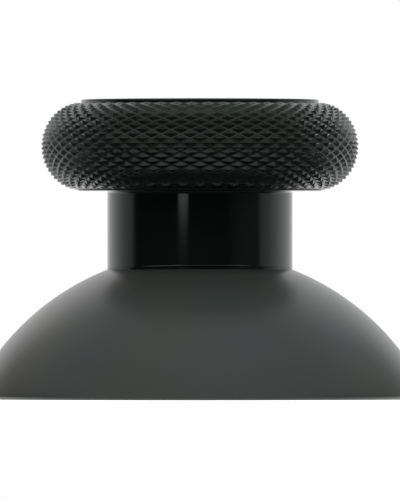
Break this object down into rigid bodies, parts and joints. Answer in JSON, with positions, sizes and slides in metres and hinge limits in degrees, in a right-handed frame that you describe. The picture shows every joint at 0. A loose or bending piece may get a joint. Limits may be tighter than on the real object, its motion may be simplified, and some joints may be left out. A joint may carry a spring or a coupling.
{
  "type": "controller thumb grip",
  "caption": "One-piece thumb-stick cap: diamond-knurled rim round a shallow finger dish, round neck, and a hollow dome skirt with a braced central boss and a blind two-flat socket.",
  "frame": {"origin": "centre of the dome's flat base ring, on the stick's axis", "axes": "+Z along the stick's axis, from the base up to the finger dish; the socket's two flats face +Y and -Y"},
  "size_m": [0.023, 0.023, 0.0151],
  "materials": {
    "black_plastic": "satin black on the dome, polished on the neck, matt between the knurled diamonds"
  },
  "bodies": {
    "root": {"thumb_grip": "black_plastic"}
  },
  "joints": []
}
